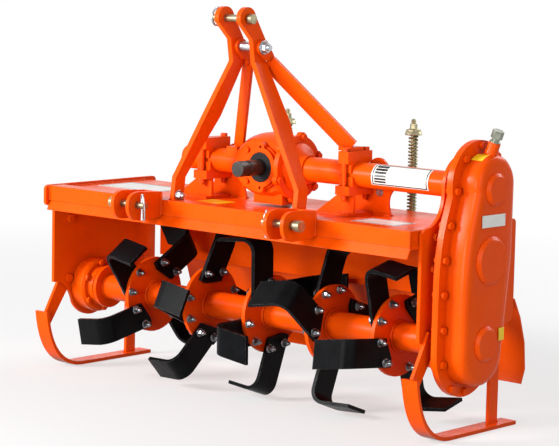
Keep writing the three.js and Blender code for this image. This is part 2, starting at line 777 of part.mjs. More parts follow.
function chainCase() {
  const stubEnd = caseBackX + 18;
  const back = cut(
    join(
      plateX(caseOutline(caseBackInset), caseBackX, caseFlangeX + 1, 16),
      plateX(caseOutline(0), caseFlangeX, caseFlangeX + caseFlange, 16),
    ),
    rodAlongX(journalRadius + journalGap, caseBackX - 5, stubEnd + 1, rotorY, 0),
  );
  place("chain_case_back", back, orange);

  const round = 16;
  const rounded = new THREE.ExtrudeGeometry(caseOutline(caseInset), {
    depth: caseCoverDepth,
    bevelEnabled: true,
    bevelSize: round,
    bevelOffset: -round,
    bevelThickness: round,
    bevelSegments: 3,
    curveSegments: 14,
  });
  rounded.applyMatrix4(alongX).translate(caseCoverX - round, 0, 0);
  const bosses = [
    [-9, shaftHeight, 34],
    [-18, 182, 50],
    [rotorY, 12, 37],
  ].map(([y, z, radius]) =>
    turnedX(
      [
        [caseFaceX - 10, 0],
        [caseFaceX - 10, radius],
        [caseFaceX + 2, radius],
        [caseFaceX + 8, radius - 7],
        [caseFaceX + 8, 0],
      ],
      y,
      z,
      24,
    ),
  );
  const rim = plateX(caseOutline(0), caseCoverX, caseCoverX + 4, 16);
  const keep = block(caseCoverX, caseFaceX + 20, -300, 300, -300, 600);
  place("chain_case_cover", join(solid(rounded).intersect(keep), rim, ...bosses), orange);
}

const plugLean = 20;

function fillerPlug() {
  const x = caseCoverX + 30;
  const coverTop = caseTopZ + caseTopRadius - caseInset;
  const turn = new THREE.Matrix4().makeRotationY(plugLean * degrees);
  const parts = [
    [11, -8, 29, 20],
    [8.5, 28, 36, 20],
    [12.5, 35, 52, 6],
  ].map(([radius, z0, z1, sides]) => {
    const geometry = new THREE.CylinderGeometry(radius, radius, z1 - z0, sides);
    geometry.rotateX(Math.PI / 2).translate(0, 0, (z0 + z1) / 2);
    geometry.applyMatrix4(turn).translate(x, 0, coverTop);
    return solid(geometry);
  });
  const plug = cut(join(...parts), block(x - 40, x + 40, -40, 40, 300, coverTop + seat));
  place("filler_plug", plug, steel);
}

// ---- rotor: bearing, shaft with flanges, blades ----
function bearingHousing() {
  const start = plateInnerLeftX + seat;
  const housing = cut(
    turnedX(
      [
        [start, 0],
        [start, 63],
        [start + 34, 63],
        [start + 40, 57],
        [start + 40, 48],
        [start + 54, 46],
        [start + 54, 0],
      ],
      rotorY,
      0,
      32,
    ),
    rodAlongX(journalRadius + journalGap, start + 16, start + 60, rotorY, 0),
  );
  place("rotor_bearing_left", housing, orange);
}

const flangeX = Array.from({ length: flangeCount }, (_, i) => flangeFirstX + i * flangePitch);

function rotorShaft() {
  const left = plateInnerLeftX + seat + 60;
  const right = plateInnerRightX - 12;
  const parts = [
    rodAlongX(rotorTubeRadius, left, right, rotorY, 0, 28),
    rodAlongX(50, left, left + 10, rotorY, 0, 28),
    rodAlongX(48, right - 10, right, rotorY, 0, 28),
    rodAlongX(journalRadius, plateInnerLeftX + seat + 18, caseBackX + 16, rotorY, 0, 24),
    ...flangeX.map((x) =>
      rodAlongX(flangeRadius, x - flangeThickness / 2, x + flangeThickness / 2, rotorY, 0, 40),
    ),
  ];
  place("rotor_shaft", join(...parts), orange);
}

// Four blades on each flange, as [angle of the bolts in degrees, face it is bolted to]. Angles run from the front (-Y)
// upwards; a blade on the +X face (1) has its wing towards -X and one on the -X face (-1) towards +X.
const bladeSets = [
  [[-40, 1], [28, -1], [122, 1], [205, -1]],
  [[-70, 1], [-2, -1], [90, 1], [178, -1]],
  [[-29, -1], [61, 1], [151, -1], [262, 1]],
  [[13, 1], [83, -1], [172, 1], [263, -1]],
  [[-22, 1], [48, -1], [135, 1], [228, -1]],
];

// One blade in its own frame: the shank lies in the (u, w) plane, u outwards along the radius and w along the
// direction of rising angle, and the wing stands up along +x. It is bent from a bar of one width.
function bladeSolid() {
  const sweep = bladeSweep * degrees;
  const wingOuter = bladeReach;
  const bend = bladeBend;
  const rootDepth = 34;
  const tipDistance = shankLength();
  const path = new THREE.Shape();
  path.moveTo(-rootDepth, 0);
  path.lineTo(tipDistance - bend, 0);
  path.absarc(tipDistance - bend, bend, bend, -Math.PI / 2, 0, false);
  path.lineTo(tipDistance, wingOuter);
  path.lineTo(tipDistance - bladeThickness, wingOuter);
  path.lineTo(tipDistance - bladeThickness, bend);
  path.absarc(tipDistance - bend, bend, bend - bladeThickness, 0, -Math.PI / 2, true);
  path.lineTo(-rootDepth, bladeThickness);
  const geometry = new THREE.ExtrudeGeometry(path, { depth: bladeWidth, bevelEnabled: false, curveSegments: 4 });
  geometry.translate(0, 0, -bladeWidth / 2);
  // (path u, path v, depth) -> (u, x, w)
  const toBlade = new THREE.Matrix4().makeBasis(
    new THREE.Vector3(0, 1, 0),
    new THREE.Vector3(1, 0, 0),
    new THREE.Vector3(0, 0, -1),
  );
  geometry.applyMatrix4(toBlade).rotateX(sweep).translate(0, boltCircle - 2, 0);
  geometry.applyMatrix4(new THREE.Matrix4().set(1, 0, 0, 0, 0, 1, 0, 0, -bladeSkew, 0, 1, 0, 0, 0, 0, 1));
  const ends = block(-5, 200, -300, boltCircle - 26, -200, 200);
  return cut(solid(geometry), ends);
}

// Distance along the shank from the bolt centre to the wing's outer face, so that its far edge runs on the tip circle.
function shankLength() {
  const sweep = bladeSweep * degrees;
  const root = boltCircle - 2;
  const half = bladeWidth / 2;
  const leading = new THREE.Vector2(root, 0).add(new THREE.Vector2(Math.sin(sweep), -Math.cos(sweep)).multiplyScalar(half));
  const along = new THREE.Vector2(Math.cos(sweep), Math.sin(sweep));
  const b = leading.dot(along);
  const c = leading.lengthSq() - bladeTipRadius ** 2;
  return -b + Math.sqrt(b * b - c);
}

function blades() {
  const blade = bladeSolid();
  const mesh = blade.getMesh();
  flangeX.forEach((x, flange) => {
    bladeSets[flange].forEach(([root, face], i) => {
      const angle = root * degrees;
      const outward = new THREE.Vector3(0, -Math.cos(angle), Math.sin(angle));
      const rising = new THREE.Vector3(0, Math.sin(angle), Math.cos(angle));
      const wing = new THREE.Vector3(-face, 0, 0);
      const turn = new THREE.Matrix4().makeBasis(wing, outward, rising);
      const from = x + face * (flangeThickness / 2 + seat + bladeThickness);
      turn.setPosition(from, rotorY, 0);
      const geometry = new THREE.BufferGeometry();
      geometry.setAttribute("position", new THREE.BufferAttribute(new Float32Array(mesh.vertProperties), 3));
      geometry.setIndex(new THREE.BufferAttribute(new Uint32Array(mesh.triVerts), 1));
      geometry.applyMatrix4(turn);
      if (turn.determinant() < 0) {
        const index = geometry.index.array;
        for (let t = 0; t < index.length; t += 3) {
          [index[t + 1], index[t + 2]] = [index[t + 2], index[t + 1]];
        }
      }
      place(`blade_${flange + 1}_${i + 1}`, solid(geometry), black);
    });
  });
}

// ---- skids ----
function skid(side, plateOuterX, sign) {
  const sole = -bladeTipRadius - soleClearance;
  const top = sole + skidRise;
  const runner = new THREE.Shape();
  runner.moveTo(skidFrontY, top);
  runner.quadraticCurveTo(skidFrontY + 14, sole + 4, skidFrontY + 112, sole);
  runner.lineTo(skidRearY, sole);
  runner.lineTo(skidRearY, sole + skidBar);
  runner.lineTo(skidFrontY + 112, sole + skidBar);
  runner.quadraticCurveTo(skidFrontY + 20, sole + 14, skidFrontY + skidBar, top);
  const inner = plateOuterX + sign * seat;
  const strutX = sign > 0 ? [inner, inner + skidBar] : [inner - skidBar, inner];
  const runnerX = sign > 0 ? [inner - 13, inner - 13 + skidWidth] : [inner + 13 - skidWidth, inner + 13];
  const front = plateX(
    outline([
      [skidFrontY + 2, top - 16],
      [skidFrontY + 22, top - 34],
      [-89, 2],
      [-89, 30],
      [-112, 36],
    ]),
    ...strutX,
  );
  const rear = plateX(
    outline([
      [skidRearStrutY - 15, sole + 2],
      [skidRearStrutY + 15, sole + 2],
      [skidRearStrutY + 15, 66],
      [skidRearStrutY - 15, 66],
    ]),
    ...strutX,
  );
  place(`skid_${side}`, join(plateX(runner, ...runnerX, 12), front, rear), orange);
}

sidePlates();
frontBeam();
hood();
trailingBoard();
springRods();
hitchClevis("left", -hitchSpread);
hitchClevis("right", hitchSpread);
mast();
gearbox();
crossTube();
clampAndPedestal("left", clampLeftX, clampLeftWidth);
clampAndPedestal("right", clampRightX, clampRightWidth);
chainCase();
fillerPlug();
bearingHousing();
rotorShaft();
blades();
skid("left", plateLeftX, -1);
skid("right", plateRightX, 1);

const box = new THREE.Box3().setFromObject(machine);
const middle = box.getCenter(new THREE.Vector3());
machine.position.set(-middle.x, -middle.y, -box.min.z);

const rotavator = new THREE.Group();
rotavator.add(machine);

export default rotavator;
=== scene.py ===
import bmesh
import bpy
import json
import math
import numpy as np
from mathutils import Matrix, Vector


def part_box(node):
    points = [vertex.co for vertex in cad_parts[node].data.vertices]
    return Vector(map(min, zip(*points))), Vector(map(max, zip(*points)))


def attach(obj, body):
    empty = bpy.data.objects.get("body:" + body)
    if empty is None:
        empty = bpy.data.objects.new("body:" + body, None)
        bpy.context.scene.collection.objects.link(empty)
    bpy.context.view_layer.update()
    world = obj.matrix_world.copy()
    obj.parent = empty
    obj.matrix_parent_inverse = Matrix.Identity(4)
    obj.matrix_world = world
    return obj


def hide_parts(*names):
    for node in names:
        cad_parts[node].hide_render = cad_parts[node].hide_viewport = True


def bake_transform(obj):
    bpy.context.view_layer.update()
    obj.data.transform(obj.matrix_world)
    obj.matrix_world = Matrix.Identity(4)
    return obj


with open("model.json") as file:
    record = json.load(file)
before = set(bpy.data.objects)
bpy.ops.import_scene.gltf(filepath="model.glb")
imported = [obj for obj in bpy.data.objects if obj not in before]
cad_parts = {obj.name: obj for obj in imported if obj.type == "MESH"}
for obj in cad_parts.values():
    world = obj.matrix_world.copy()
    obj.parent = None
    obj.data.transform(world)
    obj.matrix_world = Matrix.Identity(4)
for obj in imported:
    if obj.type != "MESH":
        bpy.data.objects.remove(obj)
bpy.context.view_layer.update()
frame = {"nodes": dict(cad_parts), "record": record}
nodes = frame["nodes"]
print("stage: frame loaded,", len(nodes), "nodes")

# Places are given in millimetres from the drive line:
# X from the PTO shaft's axis, Y from the cross tube's axis, Z from the rotor's axis
ptoBox, tubeBox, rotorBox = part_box("pto_shaft"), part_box("drive_tube_right"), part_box("rotor_shaft")
datum = np.array([
    (ptoBox[0].x + ptoBox[1].x) / 2,
    (tubeBox[0].y + tubeBox[1].y) / 2,
    (rotorBox[0].z + rotorBox[1].z) / 2,
])


def at(points):
    # millimetres from the drive line to metres in the frame
    return np.asarray(points, float) / 1000 + datum


def edgesOf(node):
    # a node's box, back in millimetres from the drive line
    low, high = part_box(node)
    return (np.array(low) - datum) * 1000, (np.array(high) - datum) * 1000


def linear(hexCode):
    # each channel: c/12.92 below 0.04045, else ((c + 0.055) / 1.055) to the power 2.4
    channels = [int(hexCode[i:i + 2], 16) / 255 for i in (1, 3, 5)]
    curved = [c / 12.92 if c <= 0.04045 else ((c + 0.055) / 1.055) ** 2.4 for c in channels]
    return (*curved, 1.0)


def addNode(tree, kind, inputs=None, **settings):
    # inputs are numbers, colours or other nodes' outputs; settings are the node's own
    node = tree.nodes.new(kind)
    for name, value in settings.items():
        setattr(node, name, value)
    for name, value in (inputs or {}).items():
        socket = node.inputs[name]
        if isinstance(value, bpy.types.NodeSocket):
            tree.links.new(value, socket)
        else:
            socket.default_value = value
    return node


def newMaterial(name):
    # an empty material, its node tree, and each point's place on the piece in metres
    material = bpy.data.materials.new(name)
    material.use_nodes = True
    tree = material.node_tree
    tree.nodes.clear()
    place = addNode(tree, "ShaderNodeTexCoord").outputs["Object"]
    return material, tree, place


def closeMaterial(tree, shader):
    addNode(tree, "ShaderNodeOutputMaterial", {"Surface": shader.outputs[0]})


def noise(tree, place, millimetres, detail=3.0, roughness=0.5):
    # one feature of the pattern is about this many millimetres wide
    return addNode(tree, "ShaderNodeTexNoise", {
        "Vector": place, "Scale": 1000 / millimetres, "Detail": detail, "Roughness": roughness,
    }).outputs["Fac"]


def between(tree, value, low, high, fromLow=0.3, fromHigh=0.7):
    # a noise lies mostly between 0.3 and 0.7, and is spread from low to high
    return addNode(tree, "ShaderNodeMapRange", {
        "Value": value, "From Min": fromLow, "From Max": fromHigh, "To Min": low, "To Max": high,
    }).outputs["Result"]


def mixed(tree, share, first, second):
    # sockets 0, 6 and 7 are the share and the two colours, output 2 the colour
    mix = addNode(tree, "ShaderNodeMix", {0: share, 6: first, 7: second}, data_type="RGBA")
    return mix.outputs[2]


# Two-pack enamel sprayed over welded steel: even gloss with a fine orange-peel skin,
# a little deeper where it pooled, and darkened by painted shade in the crevices
def enamel(name, bright, deep, gloss=0.21):
    material, tree, place = newMaterial(name)
    pooled = between(tree, noise(tree, place, 160), 0.0, 0.7)
    hollow = addNode(tree, "ShaderNodeAmbientOcclusion", {"Distance": 0.03}, samples=4)
    # painted shade: ambient occlusion darkens the paint towards dark red in crevices
    paintedShade = between(tree, hollow.outputs["AO"], 0.55, 0.0, 0.25, 0.85)
    coat = mixed(tree, pooled, linear(bright), linear(deep))
    colour = mixed(tree, paintedShade, coat, linear("#8A1E02"))
    peel = noise(tree, place, 5, 1.0)  # real orange peel is 1 to 3 mm wide; coarser here to show
    bump = addNode(tree, "ShaderNodeBump", {"Strength": 0.05, "Distance": 0.0006, "Height": peel})
    shader = addNode(tree, "ShaderNodeBsdfPrincipled", {
        "Base Color": colour,
        "Roughness": between(tree, noise(tree, place, 45), gloss, gloss + 0.14),
        "IOR": 1.5, "Specular IOR Level": 0.1, "Normal": bump.outputs["Normal"],
    })
    closeMaterial(tree, shader)
    return material


# Zinc plating, passivated yellow or olive or left clear: soft metal shine,
# its film drifting between two tints
def zincPlate(name, pale, deep, rough=0.3):
    material, tree, place = newMaterial(name)
    film = between(tree, noise(tree, place, 14), 0.0, 1.0)
    grain = noise(tree, place, 1.6, 2.0)  # real grain is under 0.1 mm; coarser here to show
    bump = addNode(tree, "ShaderNodeBump", {"Strength": 0.12, "Distance": 0.0002, "Height": grain})
    shader = addNode(tree, "ShaderNodeBsdfPrincipled", {
        "Base Color": mixed(tree, film, linear(pale), linear(deep)), "Metallic": 1.0,
        "Roughness": between(tree, grain, rough, rough + 0.18), "Normal": bump.outputs["Normal"],
    })
    closeMaterial(tree, shader)
    return material


# Spring-steel blades dipped in black paint: satin, slightly pitted from forging,
# scuffed grey in specks, and grey at edges as wear and as a painted highlight
def dippedBlade(name):
    material, tree, place = newMaterial(name)
    rounded = addNode(tree, "ShaderNodeBevel", {"Radius": 0.0022}, samples=4).outputs["Normal"]
    flat = addNode(tree, "ShaderNodeNewGeometry").outputs["Normal"]
    alike = addNode(tree, "ShaderNodeVectorMath", {
        0: rounded, 1: flat,
    }, operation="DOT_PRODUCT").outputs["Value"]
    # edge mask: the grey edges are partly wear and partly a painted highlight
    edge = between(tree, alike, 1.0, 0.0, 0.86, 0.985)
    patchy = between(tree, noise(tree, place, 9, 4.0), 0.0, 1.0, 0.42, 0.62)
    edgeWearAndHighlight = addNode(tree, "ShaderNodeMath", {0: edge, 1: patchy}, operation="MULTIPLY").outputs[0]
    speck = between(tree, noise(tree, place, 2.6, 2.0), 0.0, 0.5, 0.70, 0.76)
    # grey specks of wear, and grey edges that are wear and a painted highlight
    bare = addNode(tree, "ShaderNodeMath", {0: edgeWearAndHighlight, 1: speck}, operation="MAXIMUM").outputs[0]
    drift = between(tree, noise(tree, place, 40), 0.0, 1.0)
    dip = mixed(tree, drift, linear("#060607"), linear("#0D0E10"))
    pits = noise(tree, place, 3.2, 4.0, 0.65)  # forging scale leaves pits 1 to 3 mm across
    bump = addNode(tree, "ShaderNodeBump", {"Strength": 0.28, "Distance": 0.0004, "Height": pits})
    shader = addNode(tree, "ShaderNodeBsdfPrincipled", {
        "Base Color": mixed(tree, bare, dip, linear("#505254")),
        "Roughness": between(tree, noise(tree, place, 22, 3.0), 0.3, 0.42),
        "IOR": 1.5, "Specular IOR Level": 0.06, "Normal": bump.outputs["Normal"],
    })
    closeMaterial(tree, shader)
    return material


# Turned steel under a black oily film: brown-black with a soft metal shine, duller than the blades
def oiledSteel(name, shade, rough):
    material, tree, place = newMaterial(name)
    film = between(tree, noise(tree, place, 18), 0.0, 1.0)
    turning = noise(tree, place, 2.0, 2.0)  # feed marks are 0.2 mm apart; coarser here to show
    bump = addNode(tree, "ShaderNodeBump", {
        "Strength": 0.1, "Distance": 0.0002, "Height": turning,
    })
    shader = addNode(tree, "ShaderNodeBsdfPrincipled", {
        "Base Color": mixed(tree, film, linear(shade), linear("#0C0B0B")), "Metallic": 0.2,
        "Roughness": between(tree, turning, rough, rough + 0.15), "Normal": bump.outputs["Normal"],
    })
    closeMaterial(tree, shader)
    return material


# Moulded nitrile: dull black with a faint grain
def nitrile(name):
    material, tree, place = newMaterial(name)
    grain = noise(tree, place, 1.5, 2.0)  # real mould grain is about 0.2 mm; coarser here to show
    bump = addNode(tree, "ShaderNodeBump", {"Strength": 0.15, "Distance": 0.0002, "Height": grain})
    shader = addNode(tree, "ShaderNodeBsdfPrincipled", {
        "Base Color": mixed(tree, grain, linear("#0A0A0B"), linear("#161617")),
        "Roughness": between(tree, noise(tree, place, 12), 0.4, 0.6),
        "Specular IOR Level": 0.2, "Normal": bump.outputs["Normal"],
    })
    closeMaterial(tree, shader)
    return material


# Printed vinyl film: smooth, faintly uneven where it lies on the paint
def vinyl(name, shade, worn):
    material, tree, place = newMaterial(name)
    handled = between(tree, noise(tree, place, 30, 4.0), 0.0, 0.5, 0.45, 0.75)
    ripple = noise(tree, place, 12, 2.0)  # the film lies in ripples about a thumb's width across
    bump = addNode(tree, "ShaderNodeBump", {
        "Strength": 0.06, "Distance": 0.0003, "Height": ripple,
    })
    shader = addNode(tree, "ShaderNodeBsdfPrincipled", {
        "Base Color": mixed(tree, handled, linear(shade), linear(worn)),
        "Roughness": between(tree, ripple, 0.28, 0.42), "Normal": bump.outputs["Normal"],
    })
    closeMaterial(tree, shader)
    return material


paint = enamel("orangeEnamel", "#FA5804", "#F24B02")
rotorPaint = enamel("orangeEnamelRotor", "#F85504", "#EC4602", 0.26)
yellowZinc = zincPlate("yellowPassivatedZinc", "#B4AC8C", "#7E775C")
springZinc = zincPlate("yellowPassivatedSpringWire", "#9C8E66", "#5E543A")
clearZinc = zincPlate("clearZincPlate", "#C9CCCF", "#989B9E", 0.26)
plugZinc = zincPlate("oliveZincPlug", "#A3A596", "#5F6356", 0.22)
darkZinc = zincPlate("greyPlatedSteel", "#A6A8AA", "#6C6E72", 0.24)
bladeBlack = dippedBlade("dippedSpringSteel")
shaftBlack = oiledSteel("oiledShaftSteel", "#3A322B", 0.36)
sealBlack = nitrile("nitrileRubber")
whiteVinyl = vinyl("whiteVinylLabel", "#F2F1EC", "#D9D6CC")
blackVinyl = vinyl("blackVinylPrint", "#101012", "#242428")
yellowVinyl = vinyl("yellowVinylLabel", "#FFDC1E", "#EEBE12")
print("stage: materials made")


# A node group that joins a node's loose triangles and drops its stored normals,
# so that the bevel can find its edges
def weldGroup():
    group = bpy.data.node_groups.new("weldTriangles", "GeometryNodeTree")
    group.interface.new_socket("Geometry", in_out="INPUT", socket_type="NodeSocketGeometry")
    group.interface.new_socket("Geometry", in_out="OUTPUT", socket_type="NodeSocketGeometry")
    incoming = group.nodes.new("NodeGroupInput")
    merge = addNode(group, "GeometryNodeMergeByDistance", {
        "Geometry": incoming.outputs[0], "Distance": 0.00001,
    })
    bare = addNode(group, "GeometryNodeRemoveAttribute", {
        "Geometry": merge.outputs[0], "Name": "custom_normal",
    })
    smooth = addNode(group, "GeometryNodeSetShadeSmooth", {
        "Geometry": bare.outputs[0], "Shade Smooth": True,
    })
    group.links.new(smooth.outputs[0], group.nodes.new("NodeGroupOutput").inputs[0])
    return group


weld = weldGroup()


def dress(node, material, edgeMm):
    # the node keeps its mesh; its sharp edges are rounded to edgeMm
    piece = nodes[node]
    piece.data.materials.clear()
    piece.data.materials.append(material)
    piece.modifiers.new("weld", "NODES").node_group = weld
    bevel = piece.modifiers.new("edges", "BEVEL")
    bevel.width = edgeMm / 1000
    bevel.segments = 2
    bevel.limit_method = "ANGLE"
    bevel.angle_limit = math.radians(38)
    bevel.harden_normals = True
    bevel.use_clamp_overlap = True


# each slot's material, and the radius in millimetres that its sharp edges are worn to
finishes = {
    "yellow_zinc": (yellowZinc, 0.8),
    "bright_zinc": (clearZinc, 0.8),
    "seal_rubber": (sealBlack, 1.0),
    "shaft_black": (shaftBlack, 2.5),
    "blade_black": (bladeBlack, 0.8),
    "orange_paint": (paint, 1.2),
}
ownFinish = {"rotor_shaft": rotorPaint, "filler_plug": plugZinc}
slotOf = {row["node"]: row["material_slot"] for row in frame["record"]["subparts"]}
for node in sorted(nodes):
    material, edgeMm = finishes[slotOf[node]]
    dress(node, ownFinish.get(node, material), edgeMm)
print("stage: CAD nodes finished")


def gridFaces(rows, columns, closed, start):
    # quads between neighbouring rows and columns; closed joins the last column to the first
    row = np.arange(rows - 1)[:, None]
    column = np.arange(columns if closed else columns - 1)[None, :]
    after = (column + 1) % columns
    corners = [
        row * columns + column, row * columns + after,
        (row + 1) * columns + after, (row + 1) * columns + column,
    ]
    return np.stack(np.broadcast_arrays(*corners), -1).reshape(-1, 4) + start


def makePiece(name, surfaces, material, body="", sharp=35):
    # surfaces is a list of (points as rows x columns x 3 in millimetres, closed);
    # a piece with no body is attached to none
    vertices, faces, start = [], [], 0
    for points, closed in surfaces:
        rows, columns = points.shape[:2]
        vertices.append(points.reshape(-1, 3))
        faces.append(gridFaces(rows, columns, closed, start))
        start += rows * columns
    mesh = bpy.data.meshes.new(name)
    mesh.from_pydata(at(np.concatenate(vertices)).tolist(), [], np.concatenate(faces).tolist())
    worked = bmesh.new()
    worked.from_mesh(mesh)
    bmesh.ops.remove_doubles(worked, verts=worked.verts, dist=0.000005)
    bmesh.ops.recalc_face_normals(worked, faces=worked.faces)
    worked.to_mesh(mesh)
    worked.free()
    mesh.materials.append(material)
    mesh.shade_smooth()
    mesh.set_sharp_from_angle(angle=math.radians(sharp))
    piece = bpy.data.objects.new(name, mesh)
    bpy.context.scene.collection.objects.link(piece)
    if body:
        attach(piece, body)
    return piece


def sideways(axis):
    # two unit vectors square to the axis
    axis = np.asarray(axis, float) / np.linalg.norm(axis)
    helper = np.array([0, 0, 1.0]) if abs(axis[2]) < 0.9 else np.array([0, 1.0, 0])
    first = np.cross(helper, axis)
    first /= np.linalg.norm(first)
    return axis, first, np.cross(axis, first)


def turned(profile, centre, axis, around=24, sides=0, turn=0.0):
    # point(h, angle) = centre + axis * h + radial * r(h);
    # with sides, r is held within a polygon of that many sides
    axis, first, second = sideways(axis)
    radius, height = np.array(profile, float).T
    angle = np.linspace(0, 2 * np.pi, around, endpoint=False)
    reach = np.repeat(radius[:, None], around, 1)
    if sides:
        step = 2 * np.pi / sides
        flat = np.max(radius) * np.cos(step / 2)
        polygon = flat / np.cos((angle % step) - step / 2)
        reach = np.minimum(reach, polygon[None, :] * np.minimum(1, radius / 1e-6)[:, None])
    spin = angle + turn
    radial = first * np.cos(spin)[:, None] + second * np.sin(spin)[:, None]
    middle = np.asarray(centre, float) + axis * height[:, None, None]
    return middle + reach[..., None] * radial[None], True


def swept(path, radius, around=10, up=(0, 0, 1)):
    # point(s, angle) = path(s) + r(s) * (side * cos + normal * sin),
    # where side and normal are square to the path's own direction
    path = np.asarray(path, float)
    along = np.gradient(path, axis=0)
    along /= np.linalg.norm(along, axis=1)[:, None]
    side = np.cross(along, np.asarray(up, float))
    side /= np.linalg.norm(side, axis=1)[:, None]
    normal = np.cross(side, along)
    angle = np.linspace(0, 2 * np.pi, around, endpoint=False)
    radius = np.broadcast_to(np.asarray(radius, float), (len(path),))[:, None, None]
    ring = side[:, None] * np.cos(angle)[:, None] + normal[:, None] * np.sin(angle)[:, None]
    body = path[:, None] + radius * ring
    ends = [np.repeat(path[i][None, None], around, 1) for i in (0, -1)]
    return np.concatenate([ends[0], body, ends[1]]), True


def hexHead(centre, axis, radius, height, turn=0.3):
    # a hexagon whose corners are turned down to a cone at the top
    profile = [(0, 0), (radius, 0), (radius, height * 0.72), (radius * 0.86, height), (0, height)]
    return turned(profile, centre, axis, 24, 6, turn)


def washer(centre, axis, radius, thickness=2.0):
    # a disc with its upper edge broken
    profile = [
        (0, 0), (radius, 0), (radius, thickness * 0.7), (radius - 0.6, thickness), (0, thickness),
    ]
    return turned(profile, centre, axis)


def threadedEnd(centre, axis, radius, length, pitch=2.0):
    # radius swings between crest and root once each pitch, then closes in a blunt point
    height = np.arange(0, length - radius * 0.5, pitch / 2)
    crest = radius - 0.45 * (np.arange(len(height)) % 2)
    profile = [(0, 0), *zip(crest, height), (radius * 0.72, length - radius * 0.15), (0, length)]
    return turned(profile, centre, axis, 16)


nutSizes = {"washer": 2, "height": 9, "stud": 8}  # the stud starts 1 mm inside the nut


def nutAndStud(centre, axis, radius, stud, turn=0.3):
    # a washer, the nut on it and the bolt's end standing out of the nut
    centre, axis = np.asarray(centre, float), np.asarray(axis, float)
    onWasher = centre + axis * nutSizes["washer"]
    return [
        washer(centre, axis, radius + 2, nutSizes["washer"]),
        hexHead(onWasher, axis, radius, nutSizes["height"], turn),
        threadedEnd(onWasher + axis * (nutSizes["height"] - 1), axis, stud, nutSizes["stud"]),
    ]


def beadPath(points, spacing):
    # a polyline resampled at even steps
    points = np.asarray(points, float)
    steps = np.concatenate([[0], np.cumsum(np.linalg.norm(np.diff(points, axis=0), axis=1))])
    wanted = np.linspace(0, steps[-1], max(4, int(steps[-1] / spacing)))
    return np.stack([np.interp(wanted, steps, points[:, i]) for i in range(3)], 1)


weldRipple = {"spacing": 1.6, "drop": 4.5, "dropSwell": 0.14, "drift": 17, "driftSwell": 0.06}


def weldBead(points, radius=3.0, up=(0, 0, 1)):
    # radius(s) swells and shrinks by a sine each drop, where a drop froze, and by a slower one
    path = beadPath(points, weldRipple["spacing"])
    turns = 2 * np.pi * np.arange(len(path)) * weldRipple["spacing"]
    swell = 1 + weldRipple["dropSwell"] * np.sin(turns / weldRipple["drop"])
    swell = swell + weldRipple["driftSwell"] * np.sin(turns / weldRipple["drift"])
    return swept(path, radius * swell, 8, up)


def ringPath(centre, axis, radius, start=0.0, end=360.0, count=48):
    # point(a) = centre + radius * (first * cos a + second * sin a), square to the axis
    axis, first, second = sideways(axis)
    angle = np.radians(np.linspace(start, end, count))[:, None]
    return np.asarray(centre, float) + radius * (first * np.cos(angle) + second * np.sin(angle))


weldRingPoints = 90


def weldRing(centre, radius, bead):
    # a bead round an axis along X, its last point on its first
    path = ringPath(centre, (1, 0, 0), radius, 0, 360, weldRingPoints)
    return swept(path, bead, 8, (1, 0, 0))


rotor = {
    "axisY": -28, "tube": 30, "blade": 8.3,  # a blade's thickness with its gap
    "flangeFirst": -356, "pitch": 182.5, "flangeHalf": 5,
    "boltCircle": 76, "spread": 18.5,  # a blade's two bolts stand this many degrees either side
    "nut": (7.6, 4.6), "head": (9.5, 7), "bead": 3.2,  # nut and stud radii; head radius and height
    # for each flange: angle of each blade's bolts, and the face that it is on
    "roots": [
        [(-40, 1), (28, -1), (122, 1), (205, -1)],
        [(-70, 1), (-2, -1), (90, 1), (178, -1)],
        [(-29, -1), (61, 1), (151, -1), (262, 1)],
        [(13, 1), (83, -1), (172, 1), (263, -1)],
        [(-22, 1), (48, -1), (135, 1), (228, -1)],
    ],
}


def rotorDetail():
    nuts, heads, beads = [], [], []
    # the bead swells once every 3.75 points
    ripple = 1 + 0.1 * np.sin(np.arange(weldRingPoints) * 2 * np.pi / 3.75)
    for number, blades in enumerate(rotor["roots"]):
        x = rotor["flangeFirst"] + rotor["pitch"] * number
        for root, face in blades:
            for offset in (-rotor["spread"], rotor["spread"]):
                angle = math.radians(root + offset)
                y = rotor["axisY"] - rotor["boltCircle"] * math.cos(angle)
                z = rotor["boltCircle"] * math.sin(angle)
                right = x + rotor["flangeHalf"] + (rotor["blade"] if face > 0 else 0)
                left = x - rotor["flangeHalf"] - (rotor["blade"] if face < 0 else 0)
                nuts += nutAndStud((right, y, z), (1, 0, 0), *rotor["nut"], root)
                heads.append(hexHead((left, y, z), (-1, 0, 0), *rotor["head"], root))
        for side in (-1, 1):
            foot = (x + side * (rotor["flangeHalf"] + 1), rotor["axisY"], 0)
            beads.append(weldRing(foot, rotor["tube"] + 1.5, rotor["bead"] * ripple))
    makePiece("blade_nuts", nuts, darkZinc, "rotor")
    makePiece("blade_bolt_heads", heads, darkZinc, "rotor")
    makePiece("flange_welds", beads, rotorPaint, "rotor", 60)


rotorDetail()
print("stage: rotor detail made")

shaftZ = 326  # the gearbox's and cross tube's axis above the rotor's

# bolts through the side plates: places are Y and Z, sizes are a head's radius and height
plateBolts = {
    "large": (10.5, 7), "small": (8.5, 7), "strut": 8.3,  # the skid's strut with its gap
    "left": [(-96, 161), (150, 150), (150, 60)], "leftStrut": (-100, 20),
    "right": [(-90, 228), (-96, 163)], "rightStrut": (-97, 17),
    "rearStruts": [(115, 48), (115, 18)],
}
caseBolts = {
    "rim": 4, "flange": 14.4, "size": (8.5, 7),
    "places": [
        (3, 412), (-51, 387), (-77, 323), (-96, 254), (-110, 185), (-112, 115),
        (-111, 43), (-108, -28), (-74, -82), (-32, -92), (20, -74), (50, -28),
        (56, 43), (63, 115), (69, 185), (77, 254), (76, 323), (55, 387),
    ],
}
bearingBolts = {"back": 14, "circle": 54, "angles": range(25, 385, 60), "size": (7.5, 6)}
sideCoverBolts = {"out": 12, "circle": 68, "angles": range(20, 380, 60), "size": (8, 6)}
frontCoverBolts = {"y": -46, "circle": 60, "angles": (35, 145, 215, 325), "size": (6.5, 5)}
fillerNeck = {
    "place": (578.6, 0, 396), "lean": 20,
    "profile": [(0, -8), (14, -8), (14, 6), (12.6, 9), (12.6, 25), (11.6, 26.5), (0, 26.5)],
}


